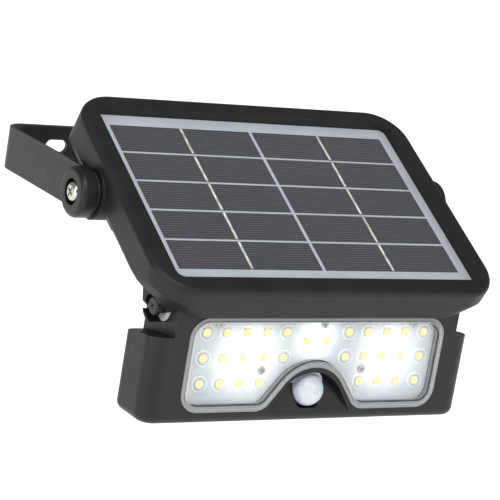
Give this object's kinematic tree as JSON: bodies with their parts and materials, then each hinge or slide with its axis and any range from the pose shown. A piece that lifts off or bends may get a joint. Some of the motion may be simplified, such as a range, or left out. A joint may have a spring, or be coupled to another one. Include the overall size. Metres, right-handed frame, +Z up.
{
  "type": "solar flood light",
  "caption": "Wall-mounted solar flood light: a tilting solar panel housing in a U-bracket, with an LED lamp head and motion sensor hinged below its front edge.",
  "frame": {"origin": "middle of the bracket's wall face", "axes": "+Y into the wall, +Z up, +X along the long side; the light faces -Y"},
  "size_m": [0.212, 0.1772, 0.1304],
  "materials": {
    "black_plastic": "fine moulded texture",
    "bracket_paint": "satin powder coat",
    "bright_steel": "bright zinc",
    "black_steel": "blackened",
    "black_nylon": "nylon",
    "brass": "machined",
    "panel_glass": "clear",
    "solar_cell": "dark blue-grey silicon",
    "ribbon": "tinned copper",
    "backsheet": "white sheet",
    "seal_rubber": "matt",
    "nylon": "natural",
    "battery_wrap": "shrink sleeve",
    "nickel": "plated strip",
    "circuit_green": "solder mask",
    "circuit_white": "white solder mask",
    "chip_black": "moulded",
    "led_yellow": "phosphor",
    "clear_plastic": "clear moulding",
    "frosted_plastic": "milky translucent",
    "cable_black": "sheath",
    "wire_red": "insulation",
    "button_rubber": "silicone"
  },
  "bodies": {
    "bracket": {"wall_bracket": "bracket_paint"},
    "solar_housing": {"front_bezel": "black_plastic", "rear_shell": "black_plastic", "panel_glass": "panel_glass", "solar_cells": "solar_cell", "busbar_ribbons": "ribbon", "panel_backsheet": "backsheet", "panel_gasket": "seal_rubber", "pivot_inserts": "brass", "friction_washers": "black_nylon", "pivot_cap_left": "black_plastic", "pivot_cap_right": "black_plastic", "pivot_screw_left": "bright_steel", "pivot_screw_right": "bright_steel", "battery_cells": "battery_wrap", "battery_holder": "black_plastic", "battery_contacts": "nickel", "battery_leads": "wire_red", "charge_board": "circuit_green", "charge_components": "chip_black", "board_stand": "black_plastic", "charge_board_screws": "bright_steel", "housing_screws": "bright_steel", "cable_grommet": "seal_rubber", "housing_cable": "cable_black", "panel_leads": "wire_red"},
    "lamp_head": {"lamp_front_shell": "black_plastic", "lamp_back_cover": "black_plastic", "lamp_screws": "bright_steel", "lens_cover": "clear_plastic", "lens_gasket": "seal_rubber", "led_board": "circuit_white", "led_chips": "led_yellow", "led_optics": "clear_plastic", "led_board_screws": "bright_steel", "pir_lens": "frosted_plastic", "pir_board": "circuit_green", "pir_sensor": "nickel", "control_board": "circuit_green", "control_components": "chip_black", "hinge_inserts": "brass", "hinge_washers": "nylon", "hinge_screw_left": "black_steel", "hinge_screw_right": "black_steel", "lamp_cable": "cable_black", "led_leads": "wire_red", "sensor_leads": "wire_red"},
    "mode_button": {"mode_button": "button_rubber"}
  },
  "joints": [
    {"name": "bracket_tilt", "type": "hinge", "parent": "bracket", "child": "solar_housing", "pos_m": [0, -0.0965, 0], "axis": [1, 0, 0], "range_deg": [-60, 60]},
    {"name": "lamp_tilt", "type": "hinge", "parent": "solar_housing", "child": "lamp_head", "pos_m": [0, -0.15191, -0.03803], "axis": [1, 0, 0], "range_deg": [-18, 53]},
    {"name": "button_press", "type": "slide", "parent": "lamp_head", "child": "mode_button", "axis": [0, -1, 0], "range_m": [0, 0.0011], "stiffness_N_per_m": 900, "springref_m": -0.0006}
  ]
}
